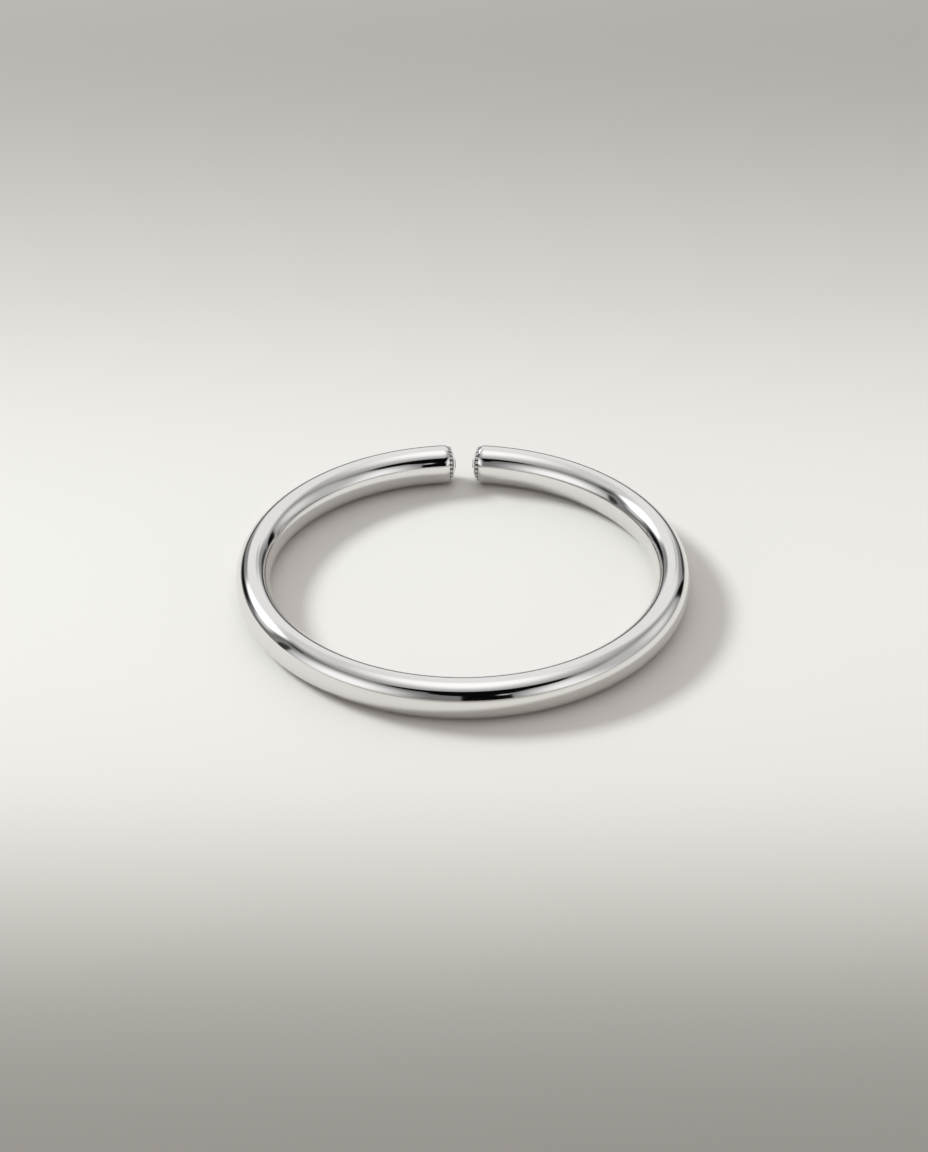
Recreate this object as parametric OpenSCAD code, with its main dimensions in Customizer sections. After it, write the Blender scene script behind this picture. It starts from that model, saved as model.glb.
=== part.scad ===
// Open cuff ring of oval wire, lying flat on its side, with a small cut stone in each tip.
// Millimetres. The ring's axis is Z, it rests on Z = 0, and the gap between the tips is at +Y.

/* [Ring] */
// Clear width across the finger hole
finger_hole_d = 17.3; // [14:0.1:22]
// Width of the wire, from the finger hole outwards
wire_w = 1.56; // [1.4:0.02:2.4]
// Height of the wire, along the finger
wire_h = 1.90; // [1.5:0.02:2.6]
// Gap between the stones of the two tips, measured at their middles
gap_w = 0.82; // [0.4:0.02:4]
// Length of a rounded tip, from the end of the plain wire to the top of its stone
tip_l = 0.60; // [0.54:0.02:0.8]

/* [Stone] */
// Width of a stone across its girdle
stone_d = 0.64; // [0.5:0.02:0.72]
// Width of the flat table on top of a stone
table_d = 0.44; // [0.3:0.02:0.48]
// Height of a stone above its girdle
crown_h = 0.09; // [0.06:0.01:0.1]
// Thickness of the girdle
girdle_h = 0.02; // [0.01:0.01:0.04]
// Depth of a stone below its girdle
pavilion_h = 0.27; // [0.22:0.01:0.3]

/* [Setting] */
// Space left between a stone and the metal all round
seat_clearance = 0.02; // [0.01:0.005:0.04]
// Width of one bead in the row round a stone
bead_d = 0.15; // [0.1:0.01:0.16]
// Distance from bead to bead along the row, as a share of a bead's width
bead_pitch = 1.07; // [1.03:0.01:1.6]
// How far along the rounded tip the row of beads lies, from the end of the plain wire
bead_at = 0.34; // [0.28:0.01:0.38]
// How deep a bead's centre lies under the tip's surface
bead_sink = 0.03; // [0.01:0.01:0.05]

/* [Hidden] */

RING_SIDES = 240;
WIRE_SIDES = 72;
BEAD_SIDES = 24;

// A rounded end reaches this far into the wire, and is this much thinner there all round
TIP_ROOT = 0.05;
TIP_STEP = 0.002;

// Radius of the wire's centre line, and the angle that one tip takes up from the middle of the gap
centre_r = (finger_hole_d + wire_w) / 2;
tip_angle = atan(tip_l / centre_r) + asin(gap_w / 2 / norm([centre_r, tip_l]));

// Heights along a tip, counted outwards from the end of the plain wire
girdle_top = tip_l - crown_h;
girdle_bottom = girdle_top - girdle_h;
culet = girdle_bottom - pavilion_h;
face = girdle_top;

// The section is round until it is drawn out by this much along the finger
OVAL = wire_h / wire_w;

// The row of beads on the shoulder of the tip, round the stone
bead_row_r = shoulder_r(bead_at) - bead_sink;
bead_count = floor(2 * PI * bead_row_r / (bead_d * bead_pitch));

// The cut of the stone: eight mains, with stars and halves between them
MAINS = 8;
STEP = 360 / MAINS;
STAR_SHARE = 0.5;
LOWER_HALF_SHARE = 0.77;

// Radius of the rounded tip at a height along it, before it is drawn out to an oval
function shoulder_r(height) =
    (wire_w / 2 - TIP_STEP) * sqrt(1 - pow((height + TIP_ROOT) / (tip_l + TIP_ROOT), 2));

// Lifts what is drawn round the wire's centre line, so that the ring rests on Z = 0
module resting()
    translate([0, 0, wire_h / 2])
        children();

// Places what is drawn upwards along Z on a tip: X across the wire, Y along the finger.
// side is 1 for the tip at +X and -1 for the tip at -X.
module on_tip(side)
    translate([side * centre_r * sin(tip_angle), centre_r * cos(tip_angle), 0])
        rotate([0, 0, -side * tip_angle])
            rotate([90, 0, -side * 90])
                children();

// The plain wire with a round section
module round_wire()
    rotate_extrude(angle = 360 - 2 * tip_angle, start = 90 + tip_angle, $fn = RING_SIDES)
        translate([centre_r, 0])
            circle(d = wire_w, $fn = WIRE_SIDES);

// The rounded end of a round wire, cut off flat where the stone is set. Its root lies in the wire.
module round_tip()
    rotate_extrude($fn = WIRE_SIDES)
        translate([0, -TIP_ROOT])
            intersection() {
                scale([wire_w - 2 * TIP_STEP, 2 * (tip_l + TIP_ROOT)])
                    circle(d = 1, $fn = WIRE_SIDES);
                square([wire_w, TIP_ROOT + face]);
            }

// The wire and its two ends, drawn out along the finger to an oval section
module oval_blank()
    scale([1, 1, OVAL])
        union() {
            round_wire();
            for (side = [-1, 1])
                on_tip(side)
                    round_tip();
        }

// What is cut into the tip for the stone: a cone under a short straight wall
module seat() {
    slope = stone_d / 2 / pavilion_h;
    seat_r = stone_d / 2 + seat_clearance;
    cone_top = culet + (seat_r - seat_clearance * sqrt(1 + slope * slope)) / slope;
    rotate_extrude($fn = WIRE_SIDES)
        polygon([
            [0, culet - seat_clearance],
            [seat_clearance, culet - seat_clearance],
            [seat_r, cone_top],
            [seat_r, tip_l],
            [0, tip_l]
        ]);
}

// The beads that stand in a row round the stone, half sunk in the tip's shoulder
module bead_row()
    for (i = [0 : bead_count - 1]) {
        turn = (i + 0.5) * 360 / bead_count;
        translate([bead_row_r * cos(turn), bead_row_r * OVAL * sin(turn), bead_at])
            sphere(d = bead_d, $fn = BEAD_SIDES);
    }

module band()
    color("silver")
        resting()
            union() {
                difference() {
                    oval_blank();
                    for (side = [-1, 1])
                        on_tip(side)
                            seat();
                }
                for (side = [-1, 1])
                    on_tip(side)
                        bead_row();
            }

// A round of points at one height, turned by a number of half steps
function ring_of(r, z, half_steps) =
    [for (i = [0 : MAINS - 1]) [r * cos((i + half_steps / 2) * STEP), r * sin((i + half_steps / 2) * STEP), z]];

// A brilliant cut: table, stars, kites and halves above the girdle, halves and mains below it
module brilliant() {
    half = STEP / 2;
    girdle_r = stone_d / 2;
    table_r = table_d / 2;

    // A star point lies in the planes of both kites beside it
    star_x = table_r + (girdle_r - table_r) * STAR_SHARE;
    star_z = tip_l - crown_h * STAR_SHARE;

    // A lower half's point lies in the planes of both mains beside it
    lower_x = girdle_r * (1 - LOWER_HALF_SHARE);
    lower_z = culet + pavilion_h * (1 - LOWER_HALF_SHARE);

    points = concat(
        ring_of(table_r, tip_l, 0),
        ring_of(star_x / cos(half), star_z, 1),
        ring_of(girdle_r, girdle_top, 0),
        ring_of(girdle_r, girdle_top, 1),
        ring_of(girdle_r, girdle_bottom, 0),
        ring_of(girdle_r, girdle_bottom, 1),
        ring_of(lower_x / cos(half), lower_z, 1),
        [[0, 0, culet]]
    );
    hull()
        polyhedron(points, [for (i = [1 : len(points) - 2]) [0, i, i + 1]]);
}

module stone(side)
    color("white")
        resting()
            on_tip(side)
                brilliant();

module stone_left()
    stone(-1);

module stone_right()
    stone(1);

band();
stone_left();
stone_right();
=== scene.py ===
"""Open cuff ring of polished silver, lying on a pale floor under soft studio light.

The band is remade here as a smooth dense mesh of the shape of its CAD solid, with slightly fuller tips.
The two stones are the CAD's own. Lengths are in millimetres and become metres through MM.
"""
import math

import bmesh
import bpy
from mathutils import Matrix, Vector

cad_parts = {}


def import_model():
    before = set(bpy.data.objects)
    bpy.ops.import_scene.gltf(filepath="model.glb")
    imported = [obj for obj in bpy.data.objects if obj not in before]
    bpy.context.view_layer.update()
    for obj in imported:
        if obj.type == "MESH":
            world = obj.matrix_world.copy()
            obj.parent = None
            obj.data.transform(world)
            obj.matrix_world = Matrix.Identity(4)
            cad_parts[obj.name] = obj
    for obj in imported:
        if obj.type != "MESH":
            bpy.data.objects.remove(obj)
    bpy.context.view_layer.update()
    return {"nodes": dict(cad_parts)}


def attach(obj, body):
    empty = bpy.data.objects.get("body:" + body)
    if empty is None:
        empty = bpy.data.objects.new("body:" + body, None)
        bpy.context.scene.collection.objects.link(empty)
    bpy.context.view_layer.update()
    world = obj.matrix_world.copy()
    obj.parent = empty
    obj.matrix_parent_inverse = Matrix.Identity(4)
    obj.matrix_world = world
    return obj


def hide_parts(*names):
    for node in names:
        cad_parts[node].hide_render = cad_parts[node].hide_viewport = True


MM = 0.001

# The band, as in the CAD model
HOLE_D = 17.3
WIRE_W = 1.56
WIRE_H = 1.90
GAP_W = 0.82
TIP_L = 0.60

# 2 makes a tip's rounded end a half ellipse, and more makes it fuller
TIP_FULLNESS = 2.3

# The setting in each tip. CULET, FACE and BEAD_AT are heights above the end of the plain wire.
STONE_D = 0.64
PAVILION_H = 0.27
CULET = 0.22
FACE = 0.55
SEAT_CLEARANCE = 0.02
BEAD_D = 0.15
BEAD_AT = 0.34
BEAD_SINK = 0.03
BEAD_COUNT = 23

# How far the rounded edge of a tip's flat face reaches
EDGE_REACH = 0.009

# Half the width of the belt of painted shade between the beads, as a share of a bead's width
PAINTED_SHADE_SHARE = 0.48

# Place in the band's list of materials of the darker silver that paints the shade between the beads
PAINTED_SHADE_SLOT = 1

# How finely the band is drawn
WIRE_STEPS = 480
SECTION_STEPS = 96
TIP_STEPS = 16
EDGE_STEPS = 4
SEAT_STEPS = 72
BEAD_SEGMENTS = 24
BEAD_RINGS = 14

# Edges that turn more than this many degrees stay sharp
SHARP_ANGLE = 35

# Camera, from the photograph: millimetres, degrees and pixels
TARGET = (0.048, 1.28, 0.0)
DISTANCE = 145.3
ELEVATION = 33.86
AZIMUTH = 0.36
FOCAL_PX = 3195.0
IMAGE_LONG_SIDE_PX = 1152
SENSOR = 36.0
CLIP_START = 1
CLIP_END = 5000

FLOOR_HALF_SIZE = 600

# Key light: the two widths of its oval, its direction and distance from the ring, its power and colour
KEY_WIDTHS = (190, 110)
KEY_AZIMUTH = 152
KEY_ELEVATION = 35
KEY_DISTANCE = 520
KEY_WATTS = 2.28
KEY_COLOUR = (0.870, 0.965, 1.0)


def turn_steps(count):
    """Even steps of one full turn, in radians."""
    return [2 * math.pi * i / count for i in range(count)]


def centre_radius():
    """Radius of the wire's centre line."""
    return (HOLE_D + WIRE_W) / 2


def tip_angle():
    """Angle from the middle of the gap to the end of the plain wire, in radians."""
    r = centre_radius()
    return math.atan(TIP_L / r) + math.asin(GAP_W / 2 / math.hypot(r, TIP_L))


def section():
    """The wire's oval section: offsets outwards from the centre line and upwards."""
    return [(WIRE_W / 2 * math.cos(a), WIRE_H / 2 * math.sin(a)) for a in turn_steps(SECTION_STEPS)]


def tip_frame(side):
    """Matrix of a tip: X outwards from the ring's axis, Y up, Z along the wire towards the gap."""
    a = tip_angle()
    out = Vector((side * math.sin(a), math.cos(a), 0))
    along = Vector((-side * math.cos(a), math.sin(a), 0))
    origin = out * centre_radius() + Vector((0, 0, WIRE_H / 2))
    up = Vector((0, 0, 1))
    return Matrix((
        (out.x, up.x, along.x, origin.x),
        (out.y, up.y, along.y, origin.y),
        (out.z, up.z, along.z, origin.z),
        (0, 0, 0, 1),
    ))


def tip_share(height):
    """The share of the wire's full section that a tip still has at a height along it."""
    return (1 - (height / TIP_L) ** TIP_FULLNESS) ** (1 / TIP_FULLNESS)


def tip_profile():
    """Heights along a tip, with the share of the full section at each, out to the flat face."""
    rounded = []
    last = math.asin((FACE - EDGE_REACH) / TIP_L)
    for i in range(1, TIP_STEPS + 1):
        height = TIP_L * math.sin(last * i / TIP_STEPS)
        rounded.append((height, tip_share(height)))
    start_u, start_f = rounded[-1]
    corner_f = tip_share(FACE)
    end_f = corner_f - EDGE_REACH
    for i in range(1, EDGE_STEPS + 1):
        t = i / EDGE_STEPS
        u = (1 - t) ** 2 * start_u + 2 * t * (1 - t) * FACE + t ** 2 * FACE
        f = (1 - t) ** 2 * start_f + 2 * t * (1 - t) * corner_f + t ** 2 * end_f
        rounded.append((u, f))
    return rounded


def tip_rings(side, oval):
    """Rings of points along a rounded tip, from the plain wire to its flat face."""
    place = tip_frame(side)
    return [[place @ Vector((x * f, z * f, u)) for x, z in oval] for u, f in tip_profile()]


def wire_rings(oval):
    """Rings of points along the plain wire, from the right tip round to the left."""
    r = centre_radius()
    start = math.pi / 2 - tip_angle()
    turn = 2 * math.pi - 2 * tip_angle()
    rings = []
    for i in range(WIRE_STEPS + 1):
        a = start - turn * i / WIRE_STEPS
        ring = []
        for x, z in oval:
            ring.append(Vector(((r + x) * math.cos(a), (r + x) * math.sin(a), WIRE_H / 2 + z)))
        rings.append(ring)
    return rings


def band_rings():
    """Every ring of points along the band, from the flat face of one tip to that of the other."""
    oval = section()
    return tip_rings(1, oval)[::-1] + wire_rings(oval) + tip_rings(-1, oval)


def skin(bm, rings):
    """Quads from ring to ring, and a face over each end."""
    count = len(rings[0])
    for a, b in zip(rings, rings[1:]):
        for i in range(count):
            j = (i + 1) % count
            bm.faces.new((a[i], a[j], b[j], b[i]))
    bm.faces.new(rings[0])
    bm.faces.new(rings[-1])


def mesh_object(name, bm):
    """Turns a mesh in millimetres into a linked object in metres."""
    bmesh.ops.recalc_face_normals(bm, faces=bm.faces)
    for v in bm.verts:
        v.co *= MM
    mesh = bpy.data.meshes.new(name)
    bm.to_mesh(mesh)
    bm.free()
    obj = bpy.data.objects.new(name, mesh)
    bpy.context.scene.collection.objects.link(obj)
    return obj


def blank():
    """The band before its seats are cut: one closed skin."""
    bm = bmesh.new()
    skin(bm, [[bm.verts.new(p) for p in ring] for ring in band_rings()])
    band = mesh_object("band_polished", bm)
    band.data.materials.append(polished_silver())
    # The second material is darker silver: painted shade between the beads.
    band.data.materials.append(silver_with_painted_shade())
    return band


def paint_shade_between_beads(band):
    """Gives the tips' surface between the beads the darker silver of painted shade."""
    for side in (-1, 1):
        to_tip = tip_frame(side).inverted()
        for face in band.data.polygons:
            at = to_tip @ (face.center / MM)
            if abs(at.z - BEAD_AT) < BEAD_D * PAINTED_SHADE_SHARE and math.hypot(at.x, at.y) < WIRE_H:
                face.material_index = PAINTED_SHADE_SLOT


def seats():
    """What is cut into the tips for the stones: a cone under a short straight wall."""
    slope = STONE_D / 2 / PAVILION_H
    seat_r = STONE_D / 2 + SEAT_CLEARANCE
    cone_top = CULET + (seat_r - SEAT_CLEARANCE * math.hypot(1, slope)) / slope
    profile = [(SEAT_CLEARANCE, CULET - SEAT_CLEARANCE), (seat_r, cone_top), (seat_r, TIP_L)]
    bm = bmesh.new()
    for side in (-1, 1):
        place = tip_frame(side)
        rings = []
        for r, u in profile:
            points = [Vector((r * math.cos(a), r * math.sin(a), u)) for a in turn_steps(SEAT_STEPS)]
            rings.append([bm.verts.new(place @ point) for point in points])
        skin(bm, rings)
    return mesh_object("seats", bm)


def beads():
    """The row of beads round each stone, half sunk in the shoulder of the tip."""
    across = WIRE_W / 2 * tip_share(BEAD_AT) - BEAD_SINK
    up = across * WIRE_H / WIRE_W
    bm = bmesh.new()
    for side in (-1, 1):
        for i in range(BEAD_COUNT):
            a = 2 * math.pi * (i + 0.5) / BEAD_COUNT
            at = Matrix.Translation((across * math.cos(a), up * math.sin(a), BEAD_AT))
            bmesh.ops.create_uvsphere(
                bm,
                u_segments=BEAD_SEGMENTS,
                v_segments=BEAD_RINGS,
                radius=BEAD_D / 2,
                matrix=tip_frame(side) @ at,
            )
    return mesh_object("beads", bm)


def combine(obj, tool, operation):
    """Applies an exact boolean and removes its tool."""
    modifier = obj.modifiers.new(operation, "BOOLEAN")
    modifier.operation = operation
    modifier.solver = "EXACT"
    modifier.object = tool
    bpy.context.view_layer.update()
    graph = bpy.context.evaluated_depsgraph_get()
    result = bpy.data.meshes.new_from_object(obj.evaluated_get(graph))
    obj.modifiers.clear()
    old = obj.data
    obj.data = result
    bpy.data.meshes.remove(old)
    bpy.data.objects.remove(tool)


def build_band():
    """The band with its seats and beads, in place of the CAD's."""
    band = blank()
    paint_shade_between_beads(band)
    combine(band, seats(), "DIFFERENCE")
    combine(band, beads(), "UNION")
    band.data.name = band.name
    band.data.polygons.foreach_set("use_smooth", [True] * len(band.data.polygons))
    band.data.set_sharp_from_angle(angle=math.radians(SHARP_ANGLE))
    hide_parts("band")
    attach(band, "root")


def new_material(name):
    """A material with one Principled shader, its node tree, and the coordinates of its object."""
    material = bpy.data.materials.new(name)
    material.use_nodes = True
    tree = material.node_tree
    tree.nodes.clear()
    out = tree.nodes.new("ShaderNodeOutputMaterial")
    shader = tree.nodes.new("ShaderNodeBsdfPrincipled")
    place = tree.nodes.new("ShaderNodeTexCoord")
    tree.links.new(shader.outputs["BSDF"], out.inputs["Surface"])
    return material, tree, shader, place.outputs["Object"]


def noise(tree, coordinates, scale, detail=3.0, roughness=0.5):
    """Cloudy noise from 0 to 1; scale counts its cells in a metre."""
    node = tree.nodes.new("ShaderNodeTexNoise")
    node.inputs["Scale"].default_value = scale
    node.inputs["Detail"].default_value = detail
    node.inputs["Roughness"].default_value = roughness
    tree.links.new(coordinates, node.inputs["Vector"])
    return node.outputs["Fac"]


def ramp(tree, value, stops):
    """A colour ramp of (place, colour) stops."""
    node = tree.nodes.new("ShaderNodeValToRGB")
    elements = node.color_ramp.elements
    while len(elements) > 1:
        elements.remove(elements[-1])
    for i, (place, colour) in enumerate(stops):
        element = elements[0] if i == 0 else elements.new(place)
        element.position = place
        element.color = (*colour, 1)
    tree.links.new(value, node.inputs["Fac"])
    return node


def blend(tree, value, socket, low_at, low, high_at, high):
    """Drives a socket from one colour to another as the value goes from low_at to high_at."""
    tree.links.new(ramp(tree, value, [(low_at, low), (high_at, high)]).outputs["Color"], socket)


def grey(tone):
    return (tone, tone, tone)


def polished_silver():
    """Mirror polish with faint buffing marks, a little softer in patches."""
    material, tree, shader, place = new_material("polished_silver")
    shader.inputs["Metallic"].default_value = 1.0
    patches = noise(tree, place, 260.0)
    blend(tree, patches, shader.inputs["Base Color"], 0.3, (0.80, 0.79, 0.78), 0.7, (0.83, 0.82, 0.81))
    blend(tree, patches, shader.inputs["Roughness"], 0.3, grey(0.045), 0.7, grey(0.075))
    bump = tree.nodes.new("ShaderNodeBump")
    bump.inputs["Strength"].default_value = 0.02
    bump.inputs["Distance"].default_value = 0.01 * MM
    tree.links.new(noise(tree, place, 2600.0, detail=5.0, roughness=0.7), bump.inputs["Height"])
    tree.links.new(bump.outputs["Normal"], shader.inputs["Normal"])
    return material


def silver_with_painted_shade():
    """Darker, duller silver, uneven from spot to spot, that paints the shade between the beads."""
    material, tree, shader, place = new_material("silver_with_painted_shade")
    shader.inputs["Metallic"].default_value = 1.0
    spots = noise(tree, place, 5000.0)
    blend(
        tree, spots, shader.inputs["Base Color"], 0.35, (0.03, 0.028, 0.026), 0.65, (0.17, 0.163, 0.156),
    )
    blend(tree, spots, shader.inputs["Roughness"], 0.35, grey(0.45), 0.65, grey(0.28))
    return material


def clear_stone():
    """Clear cut stone with the faintest haze."""
    material, tree, shader, place = new_material("clear_stone")
    shader.inputs["Transmission Weight"].default_value = 1.0
    shader.inputs["IOR"].default_value = 2.2
    haze = noise(tree, place, 4000.0)
    blend(tree, haze, shader.inputs["Base Color"], 0.3, (0.96, 0.97, 1.0), 0.7, grey(1.0))
    blend(tree, haze, shader.inputs["Roughness"], 0.4, grey(0.0), 0.8, grey(0.02))
    return material


def dress_stones(nodes):
    """Gives the CAD's stones their material; their mesh stays as it is."""
    material = clear_stone()
    for name in ("stone_left", "stone_right"):
        stone = nodes[name]
        stone.data.materials.clear()
        stone.data.materials.append(material)


# Floor tone along Y in millimetres: painted light. A pool of light is painted round the ring, and the
# floor is darker at the near and far edge of the picture.
PAINTED_FLOOR_LIGHT = [
    (-130, (0.719, 0.673, 0.637)),
    (-80, (0.575, 0.535, 0.502)),
    (-50, (0.349, 0.319, 0.293)),
    (-37, (0.269, 0.244, 0.222)),
    (-28, (0.369, 0.337, 0.309)),
    (-21, (0.611, 0.562, 0.523)),
    (-14, (0.801, 0.754, 0.711)),
    (0, (0.813, 0.776, 0.738)),
    (14, (0.776, 0.737, 0.697)),
    (28, (0.627, 0.579, 0.548)),
    (46, (0.451, 0.416, 0.391)),
    (64, (0.375, 0.342, 0.323)),
    (110, (0.534, 0.495, 0.468)),
]


def floor_material():
    """Matt, with a pool of light painted into its colour along Y."""
    material, tree, shader, place = new_material("floor_with_painted_light")
    split = tree.nodes.new("ShaderNodeSeparateXYZ")
    tree.links.new(place, split.inputs["Vector"])
    first = PAINTED_FLOOR_LIGHT[0][0]
    last = PAINTED_FLOOR_LIGHT[-1][0]
    along = tree.nodes.new("ShaderNodeMapRange")
    along.inputs["From Min"].default_value = first * MM
    along.inputs["From Max"].default_value = last * MM
    tree.links.new(split.outputs["Y"], along.inputs["Value"])
    stops = [((y - first) / (last - first), colour) for y, colour in PAINTED_FLOOR_LIGHT]
    tone = ramp(tree, along.outputs["Result"], stops)
    tone.color_ramp.interpolation = "B_SPLINE"
    tree.links.new(tone.outputs["Color"], shader.inputs["Base Color"])
    shader.inputs["Roughness"].default_value = 0.8
    shader.inputs["Specular IOR Level"].default_value = 0.1
    return material


def build_floor():
    bm = bmesh.new()
    bmesh.ops.create_grid(bm, x_segments=8, y_segments=8, size=FLOOR_HALF_SIZE)
    floor = mesh_object("floor", bm)
    floor.data.materials.append(floor_material())


def towards(azimuth, elevation, distance):
    """A point seen from the ring in that direction; azimuth 0 is +X and 90 is +Y."""
    a = math.radians(azimuth)
    e = math.radians(elevation)
    return Vector((math.cos(a) * math.cos(e), math.sin(a) * math.cos(e), math.sin(e))) * distance


# Tone of the room by height, where 0 is the horizon and 1 is straight up
SKY = [
    (0.42, (0.20, 0.20, 0.20)),
    (0.50, (0.42, 0.418, 0.415)),
    (0.62, (0.56, 0.557, 0.553)),
    (0.72, (0.84, 0.837, 0.83)),
    (0.84, (1.14, 1.14, 1.13)),
    (1.00, (1.22, 1.22, 1.21)),
]

# What stands in the room that the silver mirrors, from back to front. Azimuth 0 is +X and 90 is +Y, in
# degrees. Half sizes are in degrees too. Square is 2 for an oval, and more for a box with round corners.
# Solid is the share of the size that has the full tone, before it fades out.
ROOM_COLUMNS = ("azimuth", "elevation", "half_width", "half_height", "square", "solid", "tone")
ROOM = [
    (90, 40, 66, 38, 2, 0.55, 0.90),
    (15, 15, 42, 34, 2, 0.60, 0.38),
    (140, 53, 52, 13, 2, 0.40, 0.72),
    (158, 17, 11, 10, 2, 0.40, 0.66),
    (-147, 11, 47, 32, 2, 0.15, 1.12),
    (-36, 9, 37, 33, 2, 0.20, 1.02),
    (-3, 18, 42, 27, 2, 0.25, 0.56),
    (20, 19, 23, 20, 2, 0.10, 0.82),
    (-92, 8, 26, 28, 2, 0.05, 0.20),
    (-82, 40, 60, 8, 2, 0.72, 0.003),
    (-78.5, 12, 12.5, 28, 5, 0.90, 0.003),
    (-70, 21, 4.5, 3.5, 2, 0.50, 0.50),
    (-82, 32, 27, 10, 2, 0.88, 0.003),
    (-70, 36, 42, 7, 2, 0.80, 0.003),
    (90, 3, 60, 8, 2, 0.50, 0.06),
    (72, 28, 8, 7, 2, 0.30, 0.60),
    (60, 17, 13, 14, 2, 0.30, 0.34),
    (56, 6, 9, 9, 2, 0.35, 0.06),
    (43, 5, 6, 19, 2, 0.60, 0.003),
    (144, 31, 23, 15, 3, 0.60, 1.50),
    (119, 18, 14, 12, 2, 0.40, 0.28),
    (134, 9, 17, 8, 2, 0.50, 0.006),
    (177.5, 10, 5, 17, 2, 0.50, 0.045),
    (176, 33, 8, 4, 2, 0.50, 0.04),
]


def calculate(tree, operation, *values):
    """A math node on numbers and sockets."""
    node = tree.nodes.new("ShaderNodeMath")
    node.operation = operation
    for i, value in enumerate(values):
        if isinstance(value, (int, float)):
            node.inputs[i].default_value = value
        else:
            tree.links.new(value, node.inputs[i])
    return node.outputs["Value"]


def powered_share(tree, offset, half_size, square):
    """How far an angle lies from a patch's middle, as a share of its half size, to a power."""
    share = calculate(tree, "DIVIDE", offset, math.radians(half_size))
    share = calculate(tree, "ABSOLUTE", share)
    return calculate(tree, "POWER", share, square)


def room_patch(tree, azimuth, elevation, row):
    """How much of one patch of the room lies in a direction, from 0 to 1."""
    across = calculate(tree, "SUBTRACT", azimuth, math.radians(row["azimuth"]))
    across = calculate(tree, "WRAP", across, math.pi, -math.pi)
    across = powered_share(tree, across, row["half_width"], row["square"])
    up = calculate(tree, "SUBTRACT", elevation, math.radians(row["elevation"]))
    up = powered_share(tree, up, row["half_height"], row["square"])
    far = calculate(tree, "ADD", across, up)
    far = calculate(tree, "POWER", far, 1 / row["square"])
    fade = tree.nodes.new("ShaderNodeMapRange")
    fade.interpolation_type = "SMOOTHSTEP"
    fade.inputs["From Min"].default_value = row["solid"]
    fade.inputs["From Max"].default_value = 1.0
    fade.inputs["To Min"].default_value = 1.0
    fade.inputs["To Max"].default_value = 0.0
    tree.links.new(far, fade.inputs["Value"])
    return fade.outputs["Result"]


def build_room():
    """The world: the tones of SKY, with the patches of ROOM in front of them."""
    world = bpy.data.worlds.new("room")
    world.use_nodes = True
    tree = world.node_tree
    tree.nodes.clear()
    out = tree.nodes.new("ShaderNodeOutputWorld")
    background = tree.nodes.new("ShaderNodeBackground")
    place = tree.nodes.new("ShaderNodeTexCoord")
    split = tree.nodes.new("ShaderNodeSeparateXYZ")
    tree.links.new(place.outputs["Generated"], split.inputs["Vector"])
    azimuth = calculate(tree, "ARCTAN2", split.outputs["Y"], split.outputs["X"])
    elevation = calculate(tree, "ARCSINE", split.outputs["Z"])
    height = calculate(tree, "DIVIDE", elevation, math.pi / 2)
    tone = ramp(tree, height, SKY).outputs["Color"]
    for values in ROOM:
        row = dict(zip(ROOM_COLUMNS, values))
        mix = tree.nodes.new("ShaderNodeMix")
        mix.data_type = "RGBA"
        mix.inputs["B"].default_value = (*grey(row["tone"]), 1)
        tree.links.new(room_patch(tree, azimuth, elevation, row), mix.inputs["Factor"])
        tree.links.new(tone, mix.inputs["A"])
        tone = mix.outputs["Result"]
    tree.links.new(tone, background.inputs["Color"])
    tree.links.new(background.outputs["Background"], out.inputs["Surface"])
    bpy.context.scene.world = world


def aim(obj, back):
    """Turns a lamp or camera so that it looks against the direction back."""
    obj.rotation_euler = back.to_track_quat("Z", "Y").to_euler()


def key_light():
    """One soft oval lamp. The silver doesn't mirror it, as ROOM has what it mirrors."""
    data = bpy.data.lights.new("key", "AREA")
    data.shape = "ELLIPSE"
    data.size = KEY_WIDTHS[0] * MM
    data.size_y = KEY_WIDTHS[1] * MM
    data.energy = KEY_WATTS
    data.color = KEY_COLOUR
    light = bpy.data.objects.new("key", data)
    light.visible_glossy = False
    bpy.context.scene.collection.objects.link(light)
    at = towards(KEY_AZIMUTH, KEY_ELEVATION, KEY_DISTANCE)
    light.location = at * MM
    aim(light, at)


def build_camera():
    """The photograph's camera."""
    data = bpy.data.cameras.new("camera")
    data.sensor_fit = "VERTICAL"
    data.sensor_height = SENSOR
    data.lens = FOCAL_PX / IMAGE_LONG_SIDE_PX * SENSOR
    data.clip_start = CLIP_START * MM
    data.clip_end = CLIP_END * MM
    camera = bpy.data.objects.new("camera", data)
    bpy.context.scene.collection.objects.link(camera)
    back = towards(AZIMUTH - 90, ELEVATION, DISTANCE)
    camera.location = (Vector(TARGET) + back) * MM
    aim(camera, back)
    bpy.context.scene.camera = camera


def main():
    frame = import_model()
    build_camera()
    build_floor()
    build_room()
    key_light()
    build_band()
    dress_stones(frame["nodes"])
    bpy.context.scene.view_settings.view_transform = "Standard"


main()
